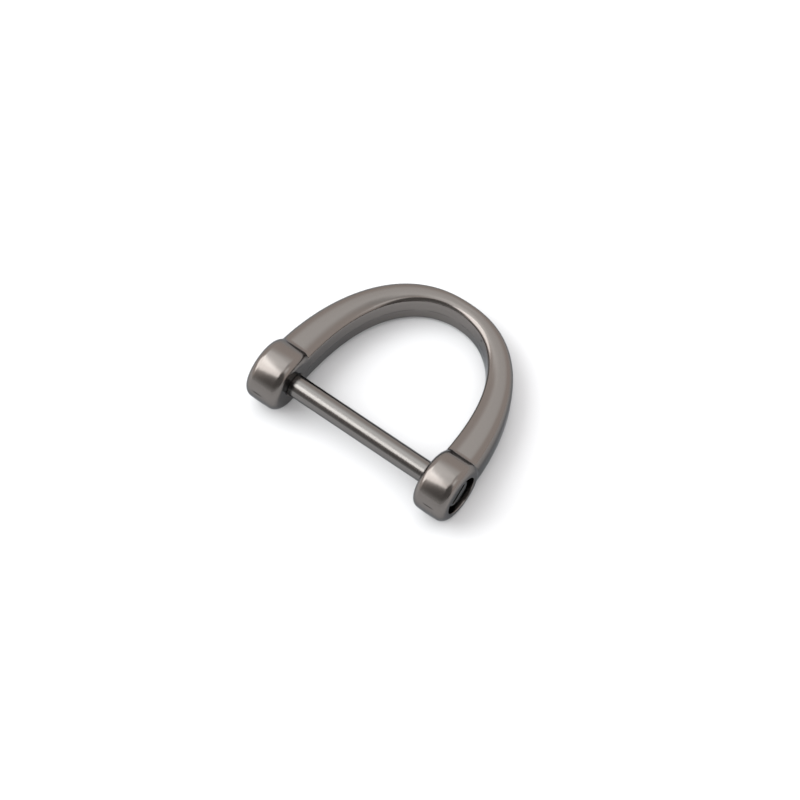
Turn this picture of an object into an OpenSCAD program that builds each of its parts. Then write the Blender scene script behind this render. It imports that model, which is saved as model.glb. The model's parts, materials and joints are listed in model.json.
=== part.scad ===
// D ring with a screw-in bar, lying flat as it does on a table.
// X runs along the bar, +Y points from the bar to the crown of the bow, and Z is up.
// The origin is on the surface that the ring lies on, under the middle of its outline.
// All sizes are in millimetres.

/* [Strap gap and bar] */
// Clear width between the eyes, the strap width that the ring is sold for
gap = 25; // [16:0.5:40]
// Diameter of the bar that the strap turns on
bar_d = 3.5; // [2.8:0.1:3.9]
// How far the bar's seat inside the screw eye stands proud of the bar
shoulder = 0.25; // [0.2:0.05:0.35]
// Running clearance between the screw and the casting, all round
fit_gap = 0.05; // [0.02:0.01:0.09]

/* [Eyes] */
// Diameter of each barrel-shaped eye
eye_d = 10; // [9.4:0.1:12]
// Width of each eye along the bar
eye_w = 5.8; // [5.3:0.1:8]
// Radius on the rims of the eyes
eye_round = 1.2; // [0.4:0.1:1.3]

/* [Bow] */
// From the bar's axis to the inner wall at the crown
inner_reach = 24.1; // [20:0.1:34]
// Thickness of the bow at the crown, seen from above
crown_t = 2.9; // [2:0.1:5]
// Height of the arms where they leave the eyes
arm_h = 6.8; // [5:0.1:7.6]
// Height of the bow at the crown
crown_h = 5.3; // [3.5:0.1:7]
// How far the arms' sides stand back from the faces of the eyes
arm_inset = 0.12; // [0.05:0.01:0.4]
// How flat the inner outline is at the crown, where 2 is as an ellipse and more is flatter
inner_crown_fullness = 2.1; // [1.9:0.05:3]
// How straight the inner outline is along the arms
inner_arm_fullness = 2.8; // [1.9:0.05:3.5]
// How flat the outer outline is at the crown
outer_crown_fullness = 2.3; // [1.9:0.05:3]
// How straight the outer outline is along the arms
outer_arm_fullness = 2.1; // [1.9:0.05:3.5]
// Squareness of the section on its inner side, where 2 is an ellipse
inner_squareness = 4; // [2:0.1:6]
// Squareness of the section on its outer side
outer_squareness = 3.5; // [2:0.1:6]
// Share of the section's width, from the inner wall, at which it is highest
ridge_share = 0.46; // [0.35:0.01:0.6]

/* [Screw] */
// Diameter of the screw's head
head_d = 4.9; // [4.7:0.1:5.6]
// Height of the head
head_h = 1.7; // [1.2:0.1:2.2]
// Bevel on the edge of the head
head_bevel = 0.3; // [0.1:0.05:0.5]
// How far the head lies below the face of its eye
head_sink = 0.5; // [0.2:0.1:0.9]
// Width of the open ring between the head and the wall of its recess
recess_gap = 0.7; // [0.3:0.05:0.8]
// Length of the driver slot, which is closed at both ends
slot_len = 3.4; // [2.6:0.1:3.8]
// Width of the driver slot
slot_w = 0.7; // [0.5:0.05:1]
// Depth of the driver slot
slot_depth = 0.8; // [0.5:0.05:1]
// Angle of the driver slot from the table, as it was last left
slot_turn = 33; // [0:1:180]

/* [Threaded tip] */
// Diameter over the threads of the tip
tip_d = 3; // [2:0.1:3]
// Length of the threaded tip past the bar's end bevel
tip_len = 3.4; // [2.5:0.1:3.6]
// Bevel on the end of the tip
tip_bevel = 0.4; // [0.2:0.05:0.6]
// Room left beyond the tip at the bottom of its hole
tip_room = 0.4; // [0.2:0.05:0.5]
// Diameter of the countersunk mouth of the threaded hole
mouth_d = 4.5; // [4.1:0.1:5.5]

/* [Hidden] */
$fn = 64;

half_gap = gap / 2;
face_x = half_gap + eye_w;
outer_reach = inner_reach + crown_t;
seat_d = bar_d + 2 * shoulder;
recess_d = head_d + 2 * recess_gap;
recess_depth = head_sink + head_h + fit_gap;
hole_d = tip_d + 2 * fit_gap;
bar_bevel = (bar_d - tip_d) / 2;
hole_depth = bar_bevel + tip_len + tip_room;
mouth_depth = (mouth_d - hole_d) / 2;

// How finely the bow is faceted: rings along it, and points round its section
RINGS = 64;
SECTION_POINTS = 24;
// Extra length on a cutting tool, so that it runs clear of the face that it enters
CLEAR = 1;

function signed_power(v, e) = sign(v) * pow(abs(v), e);

// A point of one outline of the bow, a degrees round from the right eye to the left one
function outline(a, half_w, reach, crown_fullness, arm_fullness) = [
    half_w * signed_power(cos(a), 2 / crown_fullness),
    reach * pow(sin(a), 2 / arm_fullness)
];

function inner_outline(a) =
    outline(a, half_gap + arm_inset, inner_reach, inner_crown_fullness, inner_arm_fullness);

function outer_outline(a) =
    outline(a, face_x - arm_inset, outer_reach, outer_crown_fullness, outer_arm_fullness);

function bow_height(a) = arm_h + (crown_h - arm_h) * sin(a);

// A point of the section: its share of the width from the inner wall, and of half the height
function section_point(t) =
    let (
        outside = cos(t) > 0,
        e = 2 / (outside ? outer_squareness : inner_squareness),
        reach = outside ? 1 - ridge_share : ridge_share
    )
    [ridge_share + reach * signed_power(cos(t), e), signed_power(sin(t), e)];

function bow_point(a, t) =
    let (
        s = section_point(t),
        p = (1 - s[0]) * inner_outline(a) + s[0] * outer_outline(a)
    )
    [p[0], p[1], s[1] * bow_height(a) / 2];

bow_points = [
    for (i = [0:RINGS], j = [0:SECTION_POINTS - 1])
        bow_point(180 * i / RINGS, 360 * (j + 0.5) / SECTION_POINTS)
];

function ring_index(i, j) = i * SECTION_POINTS + j % SECTION_POINTS;

bow_sides = [
    for (i = [0:RINGS - 1], j = [0:SECTION_POINTS - 1])
        each [
            [ring_index(i, j), ring_index(i, j + 1), ring_index(i + 1, j + 1)],
            [ring_index(i, j), ring_index(i + 1, j + 1), ring_index(i + 1, j)]
        ]
];
first_end = [for (j = [SECTION_POINTS - 1:-1:0]) ring_index(0, j)];
last_end = [for (j = [0:SECTION_POINTS - 1]) ring_index(RINGS, j)];

// The eyes are thicker than the bow, so the bow tips about the bar until its crown
// touches the table. Each point lying further out than the eyes would touch at its
// own angle, and the smallest of these angles is the one that the ring comes to rest at.
eye_r = eye_d / 2;
rest_tilt = min([
    for (p = bow_points)
        let (r = norm([p[1], p[2]]))
        if (r > eye_r)
            atan2(p[2], p[1]) + asin(eye_r / r)
]);

function laid_y(p) = p[1] * cos(rest_tilt) + p[2] * sin(rest_tilt);

bow_end_y = max([for (p = bow_points) laid_y(p)]);
bar_y = -(bow_end_y - eye_r) / 2;

// Moves a piece from the bar's own axis to where the bar lies on the table
module on_table() {
    translate([0, bar_y, eye_r]) children();
}

// Turns a piece drawn along Z so that it runs along X from x = 0
module along_x() {
    rotate([0, 90, 0]) children();
}

module bow_arms() {
    polyhedron(points = bow_points, faces = concat(bow_sides, [first_end, last_end]));
}

module eye_outline() {
    square([eye_r - eye_round, eye_w]);
    translate([0, eye_round]) square([eye_r, eye_w - 2 * eye_round]);
    for (h = [eye_round, eye_w - eye_round])
        translate([eye_r - eye_round, h]) circle(r = eye_round);
}

module eye_barrel() {
    rotate_extrude() intersection() {
        eye_outline();
        square([eye_r, eye_w]);
    }
}

// The screw enters from the right eye's outer face
module screw_hole() {
    translate([half_gap - CLEAR, 0, 0]) along_x()
        cylinder(d = seat_d + 2 * fit_gap, h = eye_w + 2 * CLEAR);
    translate([face_x - recess_depth, 0, 0]) along_x()
        cylinder(d = recess_d, h = recess_depth + CLEAR);
}

// The blind hole for the tip opens on the left eye's inner face
module tip_hole() {
    translate([-half_gap - hole_depth, 0, 0]) along_x()
        cylinder(d = hole_d, h = hole_depth + CLEAR);
    translate([-half_gap - mouth_depth, 0, 0]) along_x()
        cylinder(d1 = hole_d, d2 = mouth_d, h = mouth_depth);
}

module bow() {
    color("dimgray") on_table() rotate([-rest_tilt, 0, 0]) difference() {
        union() {
            bow_arms();
            translate([half_gap, 0, 0]) along_x() eye_barrel();
            translate([-face_x, 0, 0]) along_x() eye_barrel();
        }
        screw_hole();
        tip_hole();
    }
}

// The closed slot, drawn along Z with its length along Y
module driver_slot() {
    straight = slot_len - slot_w;
    linear_extrude(slot_depth + CLEAR) {
        square([slot_w, straight], center = true);
        for (side = [-1, 1])
            translate([0, side * straight / 2]) circle(d = slot_w);
    }
}

module screw_head() {
    difference() {
        union() {
            cylinder(d = head_d, h = head_h - head_bevel);
            translate([0, 0, head_h - head_bevel])
                cylinder(d1 = head_d, d2 = head_d - 2 * head_bevel, h = head_bevel);
        }
        translate([0, 0, head_h - slot_depth]) rotate([0, 0, slot_turn]) driver_slot();
    }
}

module screw_pin() {
    head_x = face_x - head_sink - head_h;
    color("silver") on_table() union() {
        translate([head_x, 0, 0]) along_x() screw_head();
        translate([half_gap, 0, 0]) along_x() cylinder(d = seat_d, h = head_x - half_gap);
        translate([-half_gap, 0, 0]) along_x() cylinder(d = bar_d, h = gap);
        translate([-half_gap - bar_bevel, 0, 0]) along_x()
            cylinder(d1 = tip_d, d2 = bar_d, h = bar_bevel);
        translate([-half_gap - bar_bevel - tip_len + tip_bevel, 0, 0]) along_x()
            cylinder(d = tip_d, h = tip_len - tip_bevel);
        translate([-half_gap - bar_bevel - tip_len, 0, 0]) along_x()
            cylinder(d1 = tip_d - 2 * tip_bevel, d2 = tip_d, h = tip_bevel);
    }
}

bow();
screw_pin();
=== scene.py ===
"""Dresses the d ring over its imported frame: a cast bow with two eyes, and a slotted screw bar."""
from __future__ import annotations

import json
import logging
import math
from dataclasses import dataclass
from enum import Enum
from typing import Callable

import bpy
import numpy as np
from mathutils import Matrix, Vector


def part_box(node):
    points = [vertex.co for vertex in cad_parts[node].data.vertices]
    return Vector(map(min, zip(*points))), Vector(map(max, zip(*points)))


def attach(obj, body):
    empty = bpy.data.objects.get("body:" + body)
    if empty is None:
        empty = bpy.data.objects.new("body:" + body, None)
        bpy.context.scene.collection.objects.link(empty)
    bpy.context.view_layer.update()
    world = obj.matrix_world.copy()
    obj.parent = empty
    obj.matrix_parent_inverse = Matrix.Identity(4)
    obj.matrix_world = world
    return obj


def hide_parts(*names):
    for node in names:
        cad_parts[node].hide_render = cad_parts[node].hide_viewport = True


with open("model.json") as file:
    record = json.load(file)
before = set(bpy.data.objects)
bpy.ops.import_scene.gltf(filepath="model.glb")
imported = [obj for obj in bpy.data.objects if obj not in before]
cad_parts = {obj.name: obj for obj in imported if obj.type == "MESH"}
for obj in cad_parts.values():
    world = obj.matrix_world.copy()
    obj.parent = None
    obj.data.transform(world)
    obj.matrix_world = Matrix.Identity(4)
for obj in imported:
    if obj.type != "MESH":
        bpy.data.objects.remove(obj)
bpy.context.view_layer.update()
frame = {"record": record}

Array = np.ndarray
Field = Callable[[Array], Array]

MM = 0.001  # metres in a millimetre
TINY = 1e-9  # keeps divisions by a length finite
STRAP_MOUNT = "strap_bar"
PAINTED_SHADE = "painted_shade"  # the mesh attribute that holds painted shade: how dark a point in a recess or slot is painted

log = logging.getLogger("d_ring")


class Slot(Enum):
    """The record's material slots."""

    CASTING = "plated_casting"
    SCREW = "turned_steel"


def linear_colour(hex_colour: str) -> tuple[float, float, float, float]:
    """Turns an sRGB colour into a linear one.

    Args:
        hex_colour: The colour as #rrggbb.

    Returns:
        Linear red, green and blue, and an alpha of 1.
    """
    parts = [int(hex_colour[i:i + 2], 16) / 255 for i in (1, 3, 5)]
    linear = [c / 12.92 if c <= 0.04045 else ((c + 0.055) / 1.055) ** 2.4 for c in parts]
    return (*linear, 1.0)


def tinted_light(tint: str, glow: float) -> tuple[float, float, float, float]:
    """Returns the linear colour of light with an sRGB tint and a strength."""
    red, green, blue, _ = linear_colour(tint)
    return (glow * red, glow * green, glow * blue, 1.0)


def add_node(
    tree: bpy.types.NodeTree, kind: str, inputs: dict[str | int, object] | None = None, **settings: object
) -> bpy.types.Node:
    """Adds a node to a tree with its settings and its links.

    Args:
        tree: The tree that gets the node.
        kind: The node's type, such as ShaderNodeMath.
        inputs: For each input, by name or index, a value or the socket that feeds it.
        settings: The node's own properties.

    Returns:
        The new node.
    """
    node = tree.nodes.new(kind)
    for name, value in settings.items():
        setattr(node, name, value)
    for key, value in (inputs or {}).items():
        if isinstance(value, bpy.types.NodeSocket):
            tree.links.new(value, node.inputs[key])
        else:
            node.inputs[key].default_value = value
    return node


def smooth_min(a: Array, b: Array, radius: Array | float) -> Array:
    """Joins two fields with a fillet.

    Args:
        a: Values of the first field.
        b: Values of the second field.
        radius: Width of the band that the fillet takes up, 0 for a sharp crease.

    Returns:
        Values of the joined field.
    """
    band = np.maximum(radius, TINY)
    near = np.clip(1 - abs(a - b) / band, 0, 1)
    return np.minimum(a, b) - near * near * band / 4


def smooth_max(a: Array, b: Array, radius: Array | float) -> Array:
    """Cuts one field by another with an eased edge, with the arguments of smooth_min."""
    return -smooth_min(-a, -b, radius)


def unit(vectors: Array) -> Array:
    """Scales each row of vectors to a length of 1."""
    return vectors / np.maximum(np.linalg.norm(vectors, axis=1, keepdims=True), TINY)


def gradient(field: Field, points: Array) -> Array:
    """Works out a field's slope by central differences.

    Args:
        field: The field.
        points: Points, one a row, in millimetres.

    Returns:
        The gradient at each point.
    """
    step = 1e-3  # millimetres to each side
    slopes = np.empty_like(points)
    for axis in range(3):
        shift = np.zeros(3)
        shift[axis] = step
        slopes[:, axis] = (field(points + shift) - field(points - shift)) / (2 * step)
    return slopes


def graded_lines(
    low: float, high: float, coarse: float, fine: float, spans: list[tuple[float, float]]
) -> Array:
    """Lays out grid lines that stand closer within some spans.

    Args:
        low: The first line.
        high: Where the lines may end.
        coarse: The spacing outside the spans.
        fine: The spacing within them.
        spans: Pairs of a start and an end.

    Returns:
        The lines' places.
    """
    lines = [low]
    while lines[-1] < high:
        inside = any(start <= lines[-1] < end for start, end in spans)
        lines.append(lines[-1] + (fine if inside else coarse))
    return np.array(lines)


@dataclass(frozen=True)
class Skin:
    """A closed surface of four-sided faces, with a normal for each corner of each face."""

    points: Array
    faces: Array
    normals: Array

    def moved(self, turn: Array, shift: Array) -> Skin:
        """Returns the skin turned by a 3 x 3 matrix and then shifted."""
        return Skin(self.points @ turn.T + shift, self.faces, self.normals @ turn.T)

    def as_object(self, name: str, painted_shade: Array) -> bpy.types.Object:
        """Makes a Blender object in metres of the skin, which is in millimetres.

        Args:
            name: The object's name.
            painted_shade: How much painted shade each point gets, from 0 to 1.

        Returns:
            The new object, linked to the scene.
        """
        mesh = bpy.data.meshes.new(name)
        mesh.from_pydata((self.points * MM).tolist(), [], self.faces.tolist())
        # painted shade is stored on the points, and the materials use it to darken recesses and slots
        mesh.attributes.new(PAINTED_SHADE, "FLOAT", "POINT").data.foreach_set("value", painted_shade.astype(np.float32))
        mesh.shade_smooth()
        mesh.normals_split_custom_set(self.normals.tolist())
        piece = bpy.data.objects.new(name, mesh)
        bpy.context.scene.collection.objects.link(piece)
        return piece


@dataclass(frozen=True)
class SkinMesher:
    """Wraps a skin round a solid given as a field that is negative inside it.

    Each grid cell that the surface crosses gets one point, placed where the surface's tangent
    planes in that cell meet, so that edges stay crisp. The points then settle onto the surface, in
    steps that are limited in millimetres.
    """

    x_lines: Array
    y_lines: Array
    z_lines: Array
    search_steps: int = 4
    settle_steps: int = 2
    most_settled: float = 0.05
    pull_to_middle: float = 0.03
    corner_share: float = 0.15
    edge_angle_deg: float = 25.0

    def crossings(self, field: Field) -> tuple[Array, Array, Array]:
        """Finds where the grid's edges cross the surface.

        Args:
            field: The solid's field.

        Returns:
            The crossing points, whether each edge starts inside, and the four cells round each edge.
        """
        lines = (self.x_lines, self.y_lines, self.z_lines)
        shape = tuple(len(a) for a in lines)
        grid = np.stack(np.meshgrid(*lines, indexing="ij"), -1).reshape(-1, 3)
        values = field(grid).reshape(shape)
        points, starts_inside, cells = [], [], []
        for axis in range(3):
            first, second = [slice(None)] * 3, [slice(None)] * 3
            first[axis], second[axis] = slice(None, -1), slice(1, None)
            at = np.argwhere((values[tuple(first)] < 0) != (values[tuple(second)] < 0))
            after = at.copy()
            after[:, axis] += 1
            low, high = values[tuple(at.T)], values[tuple(after.T)]
            starts_inside.append(low < 0)
            start = np.stack([lines[a][at[:, a]] for a in range(3)], 1)
            span = np.stack([lines[a][after[:, a]] for a in range(3)], 1) - start
            left, right = np.zeros(len(at)), np.ones(len(at))
            for _ in range(self.search_steps):
                share = left + (right - left) * low / np.where(low == high, 1, low - high)
                level = field(start + share[:, None] * span)
                same = (level < 0) == (low < 0)
                left, low = np.where(same, share, left), np.where(same, level, low)
                right, high = np.where(same, right, share), np.where(same, high, level)
            points.append(start + share[:, None] * span)
            u, v = (axis + 1) % 3, (axis + 2) % 3
            ring = []
            for du, dv in ((-1, -1), (0, -1), (0, 0), (-1, 0)):
                cell = at.copy()
                cell[:, u] += du
                cell[:, v] += dv
                ring.append(np.ravel_multi_index(tuple(cell.T), shape))
            cells.append(np.stack(ring, 1))
        return np.concatenate(points), np.concatenate(starts_inside), np.concatenate(cells)

    def build(self, field: Field) -> Skin:
        """Wraps the skin.

        Args:
            field: The solid's field, in millimetres.

        Returns:
            The solid's skin.
        """
        crossing, starts_inside, cells = self.crossings(field)
        ids, owner = np.unique(cells.ravel(), return_inverse=True)
        faces = owner.reshape(-1, 4)
        count = len(ids)
        plane = np.repeat(unit(gradient(field, crossing)), 4, axis=0)
        touch = np.repeat(crossing, 4, axis=0)
        total = np.bincount(owner, minlength=count)[:, None]
        mean = np.stack([np.bincount(owner, touch[:, a], count) for a in range(3)], 1) / total
        offset = ((touch - mean[owner]) * plane).sum(1)
        pull = np.stack([np.bincount(owner, plane[:, a] * offset, count) for a in range(3)], 1)
        spread = np.stack([
            np.stack([np.bincount(owner, plane[:, a] * plane[:, b], count) for b in range(3)], 1)
            for a in range(3)
        ], 1)
        spread += self.pull_to_middle * total[:, :, None] * np.eye(3)
        points = mean + np.linalg.solve(spread, pull[..., None])[..., 0]
        lines = (self.x_lines, self.y_lines, self.z_lines)
        place = np.unravel_index(ids, tuple(len(a) for a in lines))
        for axis in range(3):
            low, high = lines[axis][place[axis]], lines[axis][place[axis] + 1]
            points[:, axis] = np.clip(points[:, axis], low, high)
        for _ in range(self.settle_steps):
            onto = np.clip(field(points), -self.most_settled, self.most_settled)
            points = points - onto[:, None] * unit(gradient(field, points))
        faces = np.where(starts_inside[:, None], faces, faces[:, ::-1])
        return Skin(points, faces, self.corner_normals(field, points, faces))

    def corner_normals(self, field: Field, points: Array, faces: Array) -> Array:
        """Gives each corner of each face a normal, split where the surface has an edge.

        Args:
            field: The solid's field.
            points: The skin's points.
            faces: The skin's faces.

        Returns:
            One normal for each corner, face after face.
        """
        corners = points[faces]
        inward = corners + self.corner_share * (corners.mean(1, keepdims=True) - corners)
        own = unit(gradient(field, inward.reshape(-1, 3)))
        shared = unit(gradient(field, points))[faces.ravel()]
        split = (own * shared).sum(1) < math.cos(math.radians(self.edge_angle_deg))
        return np.where(split[:, None], own, shared)


@dataclass(frozen=True)
class Thread:
    """A thread of the M3 coarse series round the X axis, in millimetres.

    The flank gain is how much steeper a flank is than a plain zigzag, which sets the flats. The
    slope and crest shares turn a gap along the radius into about the distance to the surface.
    """

    crest_r: float
    root_r: float
    pitch: float = 0.5
    flank_gain: float = 1.25
    slope_share: float = 0.7
    crest_share: float = 0.35

    def beyond(self, points: Array) -> Array:
        """Returns about how far outside the thread's surface each point is, negative inside."""
        turn = np.arctan2(points[:, 2], points[:, 1]) / (2 * math.pi)
        share = (points[:, 0] / self.pitch + turn) % 1
        ridge = np.clip((1 - abs(2 * share - 1)) * self.flank_gain, 0, 1)
        surface_r = self.root_r + (self.crest_r - self.root_r) * ridge
        return self.slope_share * (np.hypot(points[:, 1], points[:, 2]) - surface_r)


@dataclass(frozen=True)
class Mark:
    """A small dent or scratch, as an oval round a point, with both in millimetres.

    It is at full depth within its core, which is a share of its half sizes.
    """

    middle: tuple[float, float, float]
    half_sizes: tuple[float, float, float]
    core: float = 0.5

    def depth(self, tree: bpy.types.NodeTree, place: bpy.types.NodeSocket) -> bpy.types.NodeSocket:
        """Returns how deep in the mark a place is, from 0 to 1."""
        middle = Vector(self.middle) * MM
        stretch = Vector([1 / (half * MM) for half in self.half_sizes])
        off = add_node(tree, "ShaderNodeVectorMath", {0: place, 1: middle}, operation="SUBTRACT")
        share = add_node(
            tree, "ShaderNodeVectorMath", {0: off.outputs[0], 1: stretch}, operation="MULTIPLY"
        )
        reach = add_node(tree, "ShaderNodeVectorMath", {0: share.outputs[0]}, operation="LENGTH")
        return add_node(
            tree, "ShaderNodeMapRange",
            {
                "Value": reach.outputs["Value"],
                "From Min": self.core, "From Max": 1.0, "To Min": 1.0, "To Max": 0.0,
            },
        ).outputs[0]


def shade_and_mark_colour(
    tree: bpy.types.NodeTree, plain_colour: object, shade_and_mark_tint: str, shares: list[bpy.types.NodeSocket]
) -> bpy.types.NodeSocket:
    """Darkens a metal's colour with painted shade in recesses and slots, and where it is marked.

    Args:
        tree: The material's tree.
        plain_colour: The metal's colour before painted shade and marks, or the socket that gives it.
        shade_and_mark_tint: The dark colour of the painted shade and of the marks.
        shares: How far towards that dark colour the metal goes for each cause, from 0 to 1.

    Returns:
        The metal's colour.
    """
    most = shares[0]
    for share in shares[1:]:
        most = add_node(tree, "ShaderNodeMath", {0: most, 1: share}, operation="MAXIMUM").outputs[0]
    return add_node(
        tree, "ShaderNodeMix", {0: most, 6: plain_colour, 7: linear_colour(shade_and_mark_tint)}, data_type="RGBA"
    ).outputs[2]


@dataclass(frozen=True)
class BlackNickelCasting:
    """Satin black nickel over a polished zinc die casting.

    The eye sees a warm dark grey with soft, wide reflections and an almost smooth skin. The inner
    wall is painted paler, as painted light for the brighter reflections that it shows, with a broken
    dark parting line along its middle. The recess in the right eye is painted darker, as painted shade.
    """

    tint: str = "#736f6c"
    edge_tint: str = "#b4b8bc"
    roughness: float = 0.2
    skin_pitch_mm: float = 0.5
    skin_depth_mm: float = 0.004
    # Painted light: the inner wall's paler colour stands in for the brighter reflections it shows.
    wall_light_tint: str = "#7b7774"
    # Painted shade in the right eye's recess; also the colour of the parting line and the marks.
    shade_and_mark_tint: str = "#4a4744"
    mark_depth_mm: float = 0.03
    wall_centre_mm: tuple[float, float, float] = (0.0, 8.0, 0.0)
    wall_start_mm: float = 9.0
    wall_full_mm: float = 12.0
    seam_half_w_mm: float = 0.11
    seam_share: float = 0.8
    seam_break_mm: float = 2.5
    seam_break_level: float = 0.34
    seam_full_level: float = 0.44
    marks: tuple[Mark, ...] = (
        Mark(middle=(-15.7, -15.9, 5.9), half_sizes=(1.2, 0.2, 0.17)),
        Mark(middle=(15.7, -15.8, 6.3), half_sizes=(1.2, 0.2, 0.11)),
        Mark(middle=(5.2, 11.9, 4.5), half_sizes=(0.25, 0.25, 0.3)),
    )

    def inner_wall(
        self, tree: bpy.types.NodeTree, place: bpy.types.NodeSocket, axis: Array, turn: Array
    ) -> tuple[bpy.types.NodeSocket, bpy.types.NodeSocket]:
        """Finds the inner wall of the bow, which is painted paler as painted light, and the broken
        parting line along it.

        A point is on the wall if its surface faces the middle of the bow from far enough away.

        Args:
            tree: The material's tree.
            place: The point that is shaded.
            axis: A point of the bar's axis, in millimetres.
            turn: The matrix that lays the casting down as it rests.

        Returns:
            How far the point is on the inner wall and how deep in the parting line, each from 0 to 1.
        """
        across = Vector(turn[:, 2])
        middle = Vector((turn @ self.wall_centre_mm + axis) * MM)
        facing = add_node(tree, "ShaderNodeNewGeometry")
        to_middle = add_node(tree, "ShaderNodeVectorMath", {0: middle, 1: place}, operation="SUBTRACT")
        inward = add_node(
            tree, "ShaderNodeVectorMath", {0: to_middle.outputs[0], 1: facing.outputs["Normal"]},
            operation="DOT_PRODUCT",
        )
        inner = add_node(
            tree, "ShaderNodeMapRange",
            {
                "Value": inward.outputs["Value"],
                "From Min": self.wall_start_mm * MM, "From Max": self.wall_full_mm * MM,
            },
        )
        height = add_node(
            tree, "ShaderNodeVectorMath", {0: to_middle.outputs[0], 1: across}, operation="DOT_PRODUCT"
        )
        off = add_node(tree, "ShaderNodeMath", {0: height.outputs["Value"]}, operation="ABSOLUTE")
        line = add_node(
            tree, "ShaderNodeMapRange",
            {
                "Value": off.outputs[0],
                "From Min": 0.0, "From Max": self.seam_half_w_mm * MM, "To Min": 1.0, "To Max": 0.0,
            },
        )
        breaks = add_node(
            tree, "ShaderNodeTexNoise",
            {"Vector": place, "Scale": 1 / (self.seam_break_mm * MM), "Detail": 1.0},
        )
        kept = add_node(
            tree, "ShaderNodeMapRange",
            {
                "Value": breaks.outputs["Fac"],
                "From Min": self.seam_break_level, "From Max": self.seam_full_level,
            },
        )
        shown = add_node(
            tree, "ShaderNodeMath", {0: line.outputs[0], 1: kept.outputs[0]}, operation="MULTIPLY"
        )
        seam = add_node(
            tree, "ShaderNodeMath", {0: shown.outputs[0], 1: inner.outputs[0]}, operation="MULTIPLY"
        )
        return inner.outputs[0], seam.outputs[0]

    def material(self, axis: Array, turn: Array) -> bpy.types.Material:
        """Makes the casting's material.

        Args:
            axis: A point of the bar's axis, in millimetres.
            turn: The matrix that lays the casting down as it rests.

        Returns:
            The material.
        """
        made = bpy.data.materials.new("satin_black_nickel")
        made.use_nodes = True
        tree = made.node_tree
        tree.nodes.clear()
        place = add_node(tree, "ShaderNodeTexCoord").outputs["Object"]
        skin = add_node(
            tree, "ShaderNodeTexNoise",
            {"Vector": place, "Scale": 1 / (self.skin_pitch_mm * MM), "Detail": 2.0},
        )
        skin_bump = add_node(
            tree, "ShaderNodeBump",
            {"Height": skin.outputs["Fac"], "Strength": 1.0, "Distance": self.skin_depth_mm * MM},
        )
        wall, line = self.inner_wall(tree, place, axis, turn)
        seam = add_node(
            tree, "ShaderNodeMath", {0: line, 1: self.seam_share}, operation="MULTIPLY"
        ).outputs[0]
        dents = [seam, *(mark.depth(tree, place) for mark in self.marks)]
        sunk = dents[0]
        for dent in dents[1:]:
            sunk = add_node(tree, "ShaderNodeMath", {0: sunk, 1: dent}, operation="MAXIMUM").outputs[0]
        bump = add_node(
            tree, "ShaderNodeBump",
            {
                "Height": sunk,
                "Strength": 1.0,
                "Distance": self.mark_depth_mm * MM,
                "Normal": skin_bump.outputs["Normal"],
            },
            invert=True,
        )
        # Painted shade: the recess in the right eye is darkened, where shade falls in it.
        painted_shade = add_node(tree, "ShaderNodeAttribute", attribute_name=PAINTED_SHADE).outputs["Fac"]
        # Painted light: the inner wall is mixed towards its paler colour.
        colour_with_wall_light = add_node(
            tree, "ShaderNodeMix",
            {0: wall, 6: linear_colour(self.tint), 7: linear_colour(self.wall_light_tint)},
            data_type="RGBA",
        )
        colour = shade_and_mark_colour(tree, colour_with_wall_light.outputs[2], self.shade_and_mark_tint, [painted_shade, sunk])
        shader = add_node(
            tree, "ShaderNodeBsdfPrincipled",
            {
                "Base Color": colour,
                "Specular Tint": linear_colour(self.edge_tint),
                "Metallic": 1.0,
                "Roughness": self.roughness,
                "Normal": bump.outputs["Normal"],
            },
        )
        add_node(tree, "ShaderNodeOutputMaterial", {"Surface": shader.outputs["BSDF"]})
        return made


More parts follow.
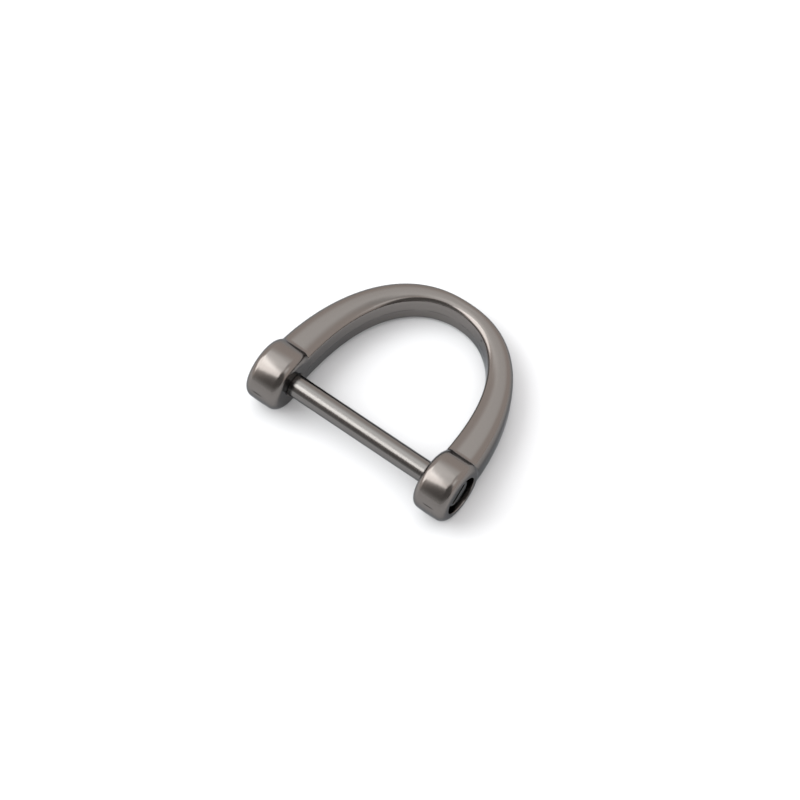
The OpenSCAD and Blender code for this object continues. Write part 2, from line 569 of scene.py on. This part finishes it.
@dataclass(frozen=True)
class TurnedSteel:
    """Turned steel with a dark nickel plating.

    The eye sees a brighter, sharper metal than the casting, with fine rings round it and a fine
    grain that breaks up the edges of its reflections.
    """

    tint: str = "#706e6c"
    edge_tint: str = "#b4b8bc"
    # Painted shade in the head's slot.
    shade_and_mark_tint: str = "#191919"
    roughness: float = 0.11
    grain: float = 0.3
    grain_turn: float = 0.25
    ring_pitch_mm: float = 0.12
    ring_depth_mm: float = 0.007
    pit_pitch_mm: float = 0.22
    pit_depth_mm: float = 0.006

    def material(self) -> bpy.types.Material:
        """Makes the screw's material."""
        made = bpy.data.materials.new("turned_dark_steel")
        made.use_nodes = True
        tree = made.node_tree
        tree.nodes.clear()
        place = add_node(tree, "ShaderNodeTexCoord")
        along = add_node(tree, "ShaderNodeSeparateXYZ", {"Vector": place.outputs["Object"]})
        rings = add_node(
            tree, "ShaderNodeTexNoise",
            {"W": along.outputs["X"], "Scale": 1 / (self.ring_pitch_mm * MM), "Detail": 3.0},
            noise_dimensions="1D",
        )
        ringed = add_node(
            tree, "ShaderNodeBump",
            {"Height": rings.outputs["Fac"], "Strength": 1.0, "Distance": self.ring_depth_mm * MM},
        )
        pits = add_node(
            tree, "ShaderNodeTexNoise",
            {"Vector": place.outputs["Object"], "Scale": 1 / (self.pit_pitch_mm * MM), "Detail": 2.0},
        )
        bump = add_node(
            tree, "ShaderNodeBump",
            {
                "Height": pits.outputs["Fac"],
                "Strength": 1.0,
                "Distance": self.pit_depth_mm * MM,
                "Normal": ringed.outputs["Normal"],
            },
        )
        around = add_node(tree, "ShaderNodeTangent", direction_type="RADIAL", axis="X")
        # Painted shade: the head's slot is darkened, where shade falls in it.
        painted_shade = add_node(tree, "ShaderNodeAttribute", attribute_name=PAINTED_SHADE).outputs["Fac"]
        colour = shade_and_mark_colour(tree, linear_colour(self.tint), self.shade_and_mark_tint, [painted_shade])
        shader = add_node(
            tree, "ShaderNodeBsdfPrincipled",
            {
                "Base Color": colour,
                "Specular Tint": linear_colour(self.edge_tint),
                "Metallic": 1.0,
                "Roughness": self.roughness,
                "Anisotropic": self.grain,
                "Anisotropic Rotation": self.grain_turn,
                "Tangent": around.outputs["Tangent"],
                "Normal": bump.outputs["Normal"],
            },
        )
        add_node(tree, "ShaderNodeOutputMaterial", {"Surface": shader.outputs["BSDF"]})
        return made


@dataclass(frozen=True)
class SatinCard:
    """White satin card under the ring, which the eye sees as plain and pale."""

    tint: str = "#dfe2e4"
    roughness: float = 0.4

    def material(self) -> bpy.types.Material:
        """Makes the floor's material."""
        made = bpy.data.materials.new("white_satin_card")
        made.use_nodes = True
        shader = made.node_tree.nodes["Principled BSDF"]
        shader.inputs["Base Color"].default_value = linear_colour(self.tint)
        shader.inputs["Roughness"].default_value = self.roughness
        return made


@dataclass
class CastBow:
    """The casting: a horseshoe-shaped bow whose two ends widen into barrel-shaped eyes.

    Sizes are in millimetres in the casting's own frame, in which X is the bar's axis and the bow
    lies flat in the XY plane. The ring rests tipped from that frame, on its eyes and its crown.
    The eyes and the crown are a hair smaller than the solid's, so that the skin stays inside its box.
    """

    gap: float
    face_x: float
    eye_r: float
    axis: Array
    eye_round: float = 1.2
    eye_inset: float = 0.002
    inner_reach: float = 24.1
    crown_t: float = 2.885
    arm_h: float = 6.8
    crown_h: float = 5.3
    side_inset: float = 0.03
    inner_crown_fullness: float = 2.1
    inner_arm_fullness: float = 2.8
    outer_crown_fullness: float = 2.3
    outer_arm_fullness: float = 2.1
    outer_squareness: float = 3.4
    ridge_share: float = 0.46
    inner_crown: float = 0.045
    shoulder_w: float = 0.8
    shoulder_drop: float = 0.4
    shoulder_ease: float = 0.4
    arm_edge_ease: float = 0.4
    crown_edge_ease: float = 0.95
    crown_start: float = 0.7
    crown_full: float = 0.92
    wall_draft: float = 0.05
    barrel_crown: float = 0.12
    crease_width: float = 0.35
    rim_ease: float = 0.12
    recess_r: float = 3.15
    recess_depth: float = 2.25
    bore_r: float = 2.05
    hole_depth: float = 4.05
    mouth_r: float = 2.05
    tapping: Thread = Thread(crest_r=1.76, root_r=1.54)
    # Painted shade in the right eye's recess: the depth below the face where it starts, and how far from
    # the eye's inner face it stays.
    painted_shade_start: float = 0.2
    painted_shade_margin: float = 0.5
    coarse_cell: float = 0.18
    fine_cell: float = 0.11
    margin: float = 0.4
    finish: BlackNickelCasting = BlackNickelCasting()
    turn: Array | None = None

    def outline(
        self, points: Array, half_w: float, reach: float, crown_fullness: float, arm_fullness: float
    ) -> Array:
        """Measures how far points lie outside one of the bow's outlines, seen from above.

        Args:
            points: The points.
            half_w: Half the outline's width at the bar.
            reach: The outline's length from the bar to the crown.
            crown_fullness: Its exponent across, which makes the crown flatter.
            arm_fullness: Its exponent along, which makes the arms straighter.

        Returns:
            The distances, negative inside.
        """
        across = abs(points[:, 0]) / half_w
        along = np.maximum(points[:, 1], 0) / reach
        level = across**crown_fullness + along**arm_fullness - 1
        slope = np.hypot(
            crown_fullness * across ** (crown_fullness - 1) / half_w,
            arm_fullness * along ** (arm_fullness - 1) / reach,
        )
        least_slope = 0.02  # keeps the distance finite in the middle of the bow
        return level / np.maximum(slope, least_slope)

    def arms(self, points: Array) -> Array:
        """Field of the bow without its eyes.

        The inner wall is flat. Along the arms a narrow shoulder slopes up from it to the crowned top,
        and towards the crown of the bow the shoulder gives way to a wide round edge.

        Args:
            points: The points.

        Returns:
            The field's values, negative inside.
        """
        from_wall = self.outline(
            points, self.gap / 2 + self.side_inset, self.inner_reach,
            self.inner_crown_fullness, self.inner_arm_fullness,
        )
        from_side = -self.outline(
            points, self.face_x - self.side_inset, self.inner_reach + self.crown_t,
            self.outer_crown_fullness, self.outer_arm_fullness,
        )
        height = abs(points[:, 2])
        from_wall = from_wall - self.wall_draft * height
        least_width = 0.5  # keeps the share finite where the two outlines cross
        width = np.maximum(from_wall + from_side, least_width)
        share = from_wall / width
        reach = self.inner_reach + self.crown_t / 2
        mean_fullness = (self.inner_arm_fullness + self.outer_arm_fullness) / 2
        along = np.clip(points[:, 1] / reach, 0, 1) ** (mean_fullness / 2)
        half_h = (self.arm_h + (self.crown_h - self.arm_h) * along) / 2
        across = np.maximum(share - self.ridge_share, 0) / (1 - self.ridge_share)
        up = height / half_h
        n = self.outer_squareness
        level = across**n + up**n - 1
        outer_w = (1 - self.ridge_share) * width
        slope = n * np.hypot(across ** (n - 1) / outer_w, up ** (n - 1) / half_h)
        least_slope = 0.05  # keeps the distance finite in the middle of the section
        outer = level / np.maximum(slope, least_slope)
        at_crown = points[:, 1] / self.inner_reach - self.crown_start
        at_crown = np.clip(at_crown / (self.crown_full - self.crown_start), 0, 1)
        past_wall = 1.2  # draws the crowned top on by a fifth of its width past the wall
        inward = np.clip(1 - share / self.ridge_share, 0, past_wall)
        inner = height - half_h * (1 - self.inner_crown * inward**2)
        drop = self.shoulder_drop * (1 - at_crown)
        shoulder = inner + drop * (1 - from_wall / self.shoulder_w)
        shoulder = shoulder / np.hypot(1, drop / self.shoulder_w)
        inner = smooth_max(inner, shoulder, self.shoulder_ease * (1 - at_crown))
        edge_ease = self.arm_edge_ease + (self.crown_edge_ease - self.arm_edge_ease) * at_crown
        return np.where(share < self.ridge_share, smooth_max(inner, -from_wall, edge_ease), outer)

    def eyes(self, points: Array) -> Array:
        """Field of the two barrels, with rounded rims."""
        half_w = (self.face_x - self.gap / 2) / 2
        middle = self.face_x - half_w
        from_middle = abs(abs(points[:, 0]) - middle)
        out = np.hypot(points[:, 1], points[:, 2]) - (self.eye_r - self.eye_inset - self.eye_round)
        out = out + self.barrel_crown * (from_middle / half_w) ** 2
        side = from_middle - (half_w - self.eye_round)
        corner = np.hypot(np.maximum(out, 0), np.maximum(side, 0))
        return corner + np.minimum(np.maximum(out, side), 0) - self.eye_round

    def holes(self, points: Array) -> Array:
        """Field of all that is hollow: the recess and bore on the right, the tapped hole on the left."""
        x = points[:, 0]
        r = np.hypot(points[:, 1], points[:, 2])
        recess = np.maximum(r - self.recess_r, self.face_x - self.recess_depth - x)
        bore = np.maximum(r - self.bore_r, -x)
        deep = -self.gap / 2 - x
        bottom = self.tapping.slope_share * (deep - self.hole_depth)
        tapped = np.maximum(self.tapping.beyond(points), bottom)
        above_face = 1.0  # how far out of the eye the countersink is drawn on
        mouth = np.maximum((r + deep - self.mouth_r) / math.sqrt(2), -above_face - deep)
        return np.minimum(np.minimum(recess, bore), np.minimum(np.maximum(tapped, x), mouth))

    def solid(self, points: Array) -> Array:
        """Field of the whole casting."""
        arms = np.maximum(self.arms(points), -points[:, 1])
        x = abs(points[:, 0])
        from_faces = np.minimum(x - self.gap / 2, self.face_x - x)
        crease = self.crease_width * np.clip(from_faces / self.eye_round, 0, 1)
        body = smooth_min(arms, self.eyes(points), crease)
        return smooth_max(body, -self.holes(points), self.rim_ease)

    def rest_turn(self, points: Array) -> Array:
        """Works out how the casting tips about the bar until its crown touches the table.

        Args:
            points: The casting's points in its own frame.

        Returns:
            The matrix that turns them into the way that it rests.
        """
        crown = points[points[:, 1] > self.inner_reach / 2]
        reach = np.hypot(crown[:, 1], crown[:, 2])
        tilt = (np.arctan2(crown[:, 2], crown[:, 1]) + np.arcsin(self.eye_r / reach)).min()
        c, s = math.cos(tilt), math.sin(tilt)
        return np.array([[1, 0, 0], [0, c, s], [0, -s, c]])

    def build(self) -> bpy.types.Object:
        """Makes the casting's mesh where it rests."""
        end_x = self.face_x + self.margin
        end_y = self.inner_reach + self.crown_t + self.margin
        low = -self.eye_r - self.margin
        eyes = [(-end_x, -self.gap / 2 + self.margin), (self.gap / 2 - self.margin, end_x)]
        middle = [(-self.recess_r - self.margin, self.recess_r + self.margin)]
        mesher = SkinMesher(
            graded_lines(-end_x, end_x, self.coarse_cell, self.fine_cell, eyes),
            graded_lines(low, end_y, self.coarse_cell, self.fine_cell, middle),
            graded_lines(low, -low, self.coarse_cell, self.fine_cell, []),
        )
        skin = mesher.build(self.solid)
        self.turn = self.rest_turn(skin.points)
        # Painted shade: the recess darkens with depth below the eye's face, where shade falls.
        sunk = np.clip((self.face_x - skin.points[:, 0]) / self.painted_shade_start - 1, 0, 1)
        in_recess = np.hypot(skin.points[:, 1], skin.points[:, 2]) < self.recess_r + self.rim_ease
        in_eye = skin.points[:, 0] > self.gap / 2 + self.painted_shade_margin
        painted_shade = np.where(in_recess & in_eye, sunk, 0)
        return skin.moved(self.turn, self.axis).as_object("cast_bow", painted_shade)

    def dress(self, piece: bpy.types.Object) -> None:
        """Gives the casting its finish and its place in the frame."""
        piece.data.materials.append(self.finish.material(self.axis, self.turn))
        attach(piece, "bow")
        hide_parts("bow")


@dataclass
class ScrewBar:
    """The screw: a smooth bar with a slotted head at one end and a threaded tip at the other.

    Sizes are in millimetres from the middle of the bar, with the head towards +X.
    """

    gap: float
    bar_r: float
    head_r: float
    head_end_x: float
    tip_end_x: float
    axis: Array
    seat_r: float = 2.0
    head_h: float = 1.7
    head_bevel: float = 0.3
    edge_ease: float = 0.12
    slot_len: float = 3.4
    slot_w: float = 0.7
    slot_depth: float = 0.8
    slot_turn_deg: float = 33.0
    tip_bevel: float = 0.4
    thread: Thread = Thread(crest_r=1.5, root_r=1.23)
    # Painted shade in the slot: the depth below the head's face at which it is full.
    painted_shade_full: float = 0.07
    cell: float = 0.1
    margin: float = 0.3
    finish: TurnedSteel = TurnedSteel()

    def stem(self, points: Array) -> Array:
        """Field of the turned stem: seat, bar and threaded tip."""
        x = points[:, 0]
        r = np.hypot(points[:, 1], points[:, 2])
        head_x = self.head_end_x - self.head_h
        seat = np.maximum(r - self.seat_r, np.maximum(self.gap / 2 - x, x - head_x - self.edge_ease))
        past_bar = -self.gap / 2 - x
        shoulder = np.maximum(r - self.bar_r, (r + past_bar - self.bar_r) / math.sqrt(2))
        bar = np.maximum(shoulder, x - self.gap / 2 - self.edge_ease)
        within_crest = self.thread.crest_share * (r - self.thread.crest_r)
        screwed = np.maximum(self.thread.beyond(points), within_crest)
        length = -self.tip_end_x + x
        end = np.maximum((r - length - self.thread.crest_r + self.tip_bevel) / math.sqrt(2), -length)
        tip = np.maximum(np.maximum(screwed, end), x + self.gap / 2)
        return np.minimum(np.minimum(seat, bar), tip)

    def head(self, points: Array) -> Array:
        """Field of the head, with its bevelled rim and its closed slot."""
        x = points[:, 0]
        r = np.hypot(points[:, 1], points[:, 2])
        below_face = self.head_end_x - x
        body = np.maximum(r - self.head_r, np.maximum(-below_face, below_face - self.head_h))
        bevel = (r - self.head_r + self.head_bevel - below_face) / math.sqrt(2)
        body = smooth_max(body, bevel, self.edge_ease)
        return smooth_max(body, -self.driver_slot(points), self.edge_ease)

    def driver_slot(self, points: Array) -> Array:
        """Field of the closed slot in the head."""
        turn = math.radians(self.slot_turn_deg)
        along = points[:, 1] * math.cos(turn) + points[:, 2] * math.sin(turn)
        across = points[:, 2] * math.cos(turn) - points[:, 1] * math.sin(turn)
        straight = (self.slot_len - self.slot_w) / 2
        wall = np.hypot(np.maximum(abs(along) - straight, 0), across) - self.slot_w / 2
        return np.maximum(wall, self.head_end_x - self.slot_depth - points[:, 0])

    def solid(self, points: Array) -> Array:
        """Field of the whole screw."""
        return np.minimum(self.stem(points), self.head(points))

    def build(self) -> bpy.types.Object:
        """Makes the screw's mesh."""
        side = self.head_r + self.margin
        across = graded_lines(-side, side, self.cell, self.cell, [])
        along = graded_lines(
            self.tip_end_x - self.margin, self.head_end_x + self.margin, self.cell, self.cell, []
        )
        skin = SkinMesher(along, across, across).build(self.solid)
        # Painted shade: the slot darkens with depth below the head's face.
        sunk = np.clip((self.head_end_x - skin.points[:, 0]) / self.painted_shade_full, 0, 1)
        within_r = self.head_r - self.head_bevel - self.cell
        in_slot = np.hypot(skin.points[:, 1], skin.points[:, 2]) < within_r
        in_head = skin.points[:, 0] > self.head_end_x - self.head_h / 2
        painted_shade = np.where(in_slot & in_head, sunk, 0)
        return skin.moved(np.eye(3), self.axis).as_object("screw_bar", painted_shade)

    def dress(self, piece: bpy.types.Object) -> None:
        """Gives the screw its finish and its place in the frame."""
        piece.data.materials.append(self.finish.material())
        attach(piece, "pin")
        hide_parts("screw_pin")


def direction_from_angles(azimuth_deg: float, elevation_deg: float) -> Vector:
    """Turns a direction's angles into a vector.

    Args:
        azimuth_deg: 0 towards -Y and 90 towards +X.
        elevation_deg: The angle above the table.

    Returns:
        The unit vector away from the ring.
    """
    azimuth, elevation = math.radians(azimuth_deg), math.radians(elevation_deg)
    return Vector((
        math.sin(azimuth) * math.cos(elevation),
        -math.cos(azimuth) * math.cos(elevation),
        math.sin(elevation),
    ))


@dataclass(frozen=True)
class SoftBox:
    """A flat, evenly lit panel that faces the ring, placed by the direction that it is seen in.

    Its lengths are in metres.
    """

    name: str
    azimuth_deg: float
    elevation_deg: float
    width: float
    height: float
    glow: float
    distance: float = 0.6
    tint: str = "#ffffff"

    def build(self, target: Vector) -> bpy.types.Object:
        """Hangs the panel.

        Args:
            target: The point that it faces.

        Returns:
            The light.
        """
        light = bpy.data.lights.new(self.name, "AREA")
        light.shape = "RECTANGLE"
        light.size, light.size_y = self.width, self.height
        light.energy = self.glow * math.pi * self.width * self.height
        light.color = linear_colour(self.tint)[:3]
        away = direction_from_angles(self.azimuth_deg, self.elevation_deg)
        lamp = bpy.data.objects.new(self.name, light)
        lamp.location = target + away * self.distance
        lamp.rotation_mode = "QUATERNION"
        lamp.rotation_quaternion = (-away).to_track_quat("-Z", "Y")
        lamp.visible_camera = False
        bpy.context.scene.collection.objects.link(lamp)
        return lamp


@dataclass(frozen=True)
class RoomPatch:
    """A stretch of the room that is lighter or darker than its walls, as the ring sees it.

    Its half sizes are across and up, and the edge is how far it fades on each side, as a share of
    the distance to it.
    """

    azimuth_deg: float
    elevation_deg: float
    half_sizes_deg: tuple[float, float]
    edge: float
    glow: float
    tint: str = "#ffffff"

    def paint(
        self, tree: bpy.types.NodeTree, direction: bpy.types.NodeSocket, under: bpy.types.NodeSocket
    ) -> bpy.types.NodeSocket:
        """Lays the patch over what is painted so far.

        Args:
            tree: The room's node tree.
            direction: The direction that is looked in.
            under: The room's light without the patch.

        Returns:
            The room's light with the patch.
        """
        facing = direction_from_angles(self.azimuth_deg, self.elevation_deg)
        right = Vector((0, 0, 1)).cross(facing).normalized()
        up = facing.cross(right)
        depth = add_node(tree, "ShaderNodeVectorMath", {0: direction, 1: facing}, operation="DOT_PRODUCT")
        mask = add_node(
            tree, "ShaderNodeMath", {0: depth.outputs["Value"], 1: 0.0}, operation="GREATER_THAN"
        ).outputs[0]
        for axis, half_deg in zip((right, up), self.half_sizes_deg):
            along = add_node(
                tree, "ShaderNodeVectorMath", {0: direction, 1: axis}, operation="DOT_PRODUCT"
            )
            share = add_node(
                tree, "ShaderNodeMath",
                {0: along.outputs["Value"], 1: depth.outputs["Value"]}, operation="DIVIDE",
            )
            size = add_node(tree, "ShaderNodeMath", {0: share.outputs[0]}, operation="ABSOLUTE")
            half = math.tan(math.radians(half_deg))
            inside = add_node(
                tree, "ShaderNodeMapRange",
                {
                    "Value": size.outputs[0],
                    "From Min": half + self.edge, "From Max": half - self.edge,
                    "To Min": 0.0, "To Max": 1.0,
                },
                interpolation_type="SMOOTHSTEP",
            )
            mask = add_node(
                tree, "ShaderNodeMath", {0: mask, 1: inside.outputs["Result"]}, operation="MULTIPLY"
            ).outputs[0]
        light = tinted_light(self.tint, self.glow)
        return add_node(
            tree, "ShaderNodeMix", {0: mask, 6: under, 7: light}, data_type="RGBA", clamp_result=False
        ).outputs[2]


@dataclass
class Studio:
    """The photograph's camera, a pale table and soft light.

    Azimuth 0 looks along +Y and 90 along -X. The camera's figures come from fitting its view of
    the ring to the photograph. Its lengths and the table's are in millimetres, and clip_m and the
    soft box's sizes in metres.
    """

    azimuth_deg: float = 36.063
    elevation_deg: float = 62.323
    roll_deg: float = 0.748
    distance: float = 704.0
    pixels_per_mm: float = 6.7567
    image_width: int = 800
    sensor_w: float = 36.0
    clip_m: tuple[float, float] = (0.01, 20.0)
    aim: tuple[float, float, float] = (1.5963, -3.6476, 5.0)
    table_size: float = 3000.0
    wall_glow: float = 1.24
    wall_light_tint: str = "#fff5f0"
    backdrop_glow: float = 0.95
    fill_tint: str = "#fffbfa"
    low_fill_glow: float = 0.55
    high_fill_glow: float = 1.55
    card: SatinCard = SatinCard()
    key_light: SoftBox = SoftBox(
        "key_softbox", azimuth_deg=-62, elevation_deg=47, width=0.78, height=0.78, distance=0.9, glow=3.4
    )
    room_patches: tuple[RoomPatch, ...] = (
        RoomPatch(azimuth_deg=-160, elevation_deg=55, half_sizes_deg=(15, 11), edge=0.2, glow=1.75),
        RoomPatch(
            azimuth_deg=28, elevation_deg=0, half_sizes_deg=(52, 74), edge=0.15, glow=0.27, tint="#fffaf7"
        ),
        RoomPatch(azimuth_deg=10, elevation_deg=-2, half_sizes_deg=(50, 12), edge=0.25, glow=0.85),
        RoomPatch(azimuth_deg=98, elevation_deg=55, half_sizes_deg=(10, 14), edge=0.1, glow=2.0),
        RoomPatch(azimuth_deg=165, elevation_deg=71, half_sizes_deg=(11, 8), edge=0.08, glow=1.05),
        RoomPatch(azimuth_deg=-125, elevation_deg=66, half_sizes_deg=(14, 14), edge=0.1, glow=2.4),
        RoomPatch(azimuth_deg=-75, elevation_deg=72, half_sizes_deg=(14, 8), edge=0.08, glow=2.6),
        RoomPatch(azimuth_deg=-60, elevation_deg=86, half_sizes_deg=(9, 9), edge=0.06, glow=2.0),
    )

    def place_camera(self) -> bpy.types.Object:
        """Sets up the camera where the photograph was taken from."""
        back = direction_from_angles(self.azimuth_deg, self.elevation_deg)
        right = Vector((0, 0, 1)).cross(back).normalized()
        roll = math.radians(self.roll_deg)
        up = back.cross(right)
        side = right * math.cos(roll) + up * math.sin(roll)
        top = up * math.cos(roll) - right * math.sin(roll)
        camera = bpy.data.objects.new("camera", bpy.data.cameras.new("camera"))
        camera.data.sensor_width = self.sensor_w
        camera.data.lens = self.pixels_per_mm * self.distance / self.image_width * self.sensor_w
        camera.data.clip_start, camera.data.clip_end = self.clip_m
        turn = Matrix((side, top, back)).transposed()
        place = (Vector(self.aim) + back * self.distance) * MM
        camera.matrix_world = Matrix.Translation(place) @ turn.to_4x4()
        scene = bpy.context.scene
        scene.collection.objects.link(camera)
        scene.camera = camera
        return camera

    def lay_table(self) -> bpy.types.Object:
        """Lays the pale card that the ring rests on."""
        half = self.table_size / 2 * MM
        mesh = bpy.data.meshes.new("table")
        corners = [(-half, -half, 0), (half, -half, 0), (half, half, 0), (-half, half, 0)]
        mesh.from_pydata(corners, [], [(0, 1, 2, 3)])
        table = bpy.data.objects.new("table", mesh)
        bpy.context.scene.collection.objects.link(table)
        mesh.materials.append(self.card.material())
        return table

    def light(self) -> None:
        """Hangs the soft box in a pale room, which has a lit ceiling and a dark side behind the camera.

        The patches are what the metal mirrors. The card is lit by the room as a whole, which is
        brighter overhead.
        """
        scene = bpy.context.scene
        scene.view_settings.view_transform = "Standard"
        world = bpy.data.worlds.new("room")
        world.use_nodes = True
        tree = world.node_tree
        place = add_node(tree, "ShaderNodeTexCoord")
        walls = tinted_light(self.wall_light_tint, self.wall_glow)
        seen_light = add_node(tree, "ShaderNodeCombineColor", dict(enumerate(walls[:3]))).outputs[0]
        for patch in self.room_patches:
            seen_light = patch.paint(tree, place.outputs["Generated"], seen_light)
        seen = add_node(tree, "ShaderNodeLightPath")
        backdrop = add_node(
            tree, "ShaderNodeMix",
            {0: seen.outputs["Is Camera Ray"], 6: seen_light, 7: (*[self.backdrop_glow] * 3, 1.0)},
            data_type="RGBA", clamp_result=False,
        )
        upward = add_node(tree, "ShaderNodeSeparateXYZ", {"Vector": place.outputs["Generated"]})
        fill = add_node(
            tree, "ShaderNodeMix",
            {
                0: upward.outputs["Z"],
                6: tinted_light(self.fill_tint, self.low_fill_glow),
                7: tinted_light(self.fill_tint, self.high_fill_glow),
            },
            data_type="RGBA", clamp_result=False,
        )
        room = add_node(
            tree, "ShaderNodeMix",
            {0: seen.outputs["Is Diffuse Ray"], 6: backdrop.outputs[2], 7: fill.outputs[2]},
            data_type="RGBA", clamp_result=False,
        )
        tree.links.new(room.outputs[2], tree.nodes["Background"].inputs["Color"])
        world.cycles.sampling_method = "NONE"
        scene.world = world
        self.key_light.build(Vector(self.aim) * MM)


def millimetres(place: Vector) -> Array:
    """Turns a place in metres into millimetres."""
    return np.array(place, float) / MM


def main() -> None:
    """Builds the ring's two pieces and the studio round them."""
    logging.basicConfig(level=logging.INFO, format="%(name)s: %(message)s")
    studio = Studio()
    studio.place_camera()
    strap_bar = next(m for m in frame["record"]["mounts"] if m["name"] == STRAP_MOUNT)
    axis = millimetres(strap_bar["pos_m"])
    gap = strap_bar["dims"]["length_mm"]
    _, bow_high = (millimetres(corner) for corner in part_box("bow"))
    screw_low, screw_high = (millimetres(corner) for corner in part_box("screw_pin"))
    bow = CastBow(gap=gap, face_x=bow_high[0], eye_r=axis[2], axis=axis)
    screw = ScrewBar(
        gap=gap,
        bar_r=strap_bar["dims"]["r_mm"],
        head_r=(screw_high[2] - screw_low[2]) / 2,
        head_end_x=screw_high[0],
        tip_end_x=screw_low[0],
        axis=axis,
    )
    for part in (bow, screw):
        piece = part.build()
        part.dress(piece)
        log.info("%s has %d faces", piece.name, len(piece.data.polygons))
    table = studio.lay_table()
    studio.light()
    log.info("%s is %.1f m wide, in a room of %d patches", table.name, studio.table_size * MM,
             len(studio.room_patches))


if __name__ == "__main__":
    main()
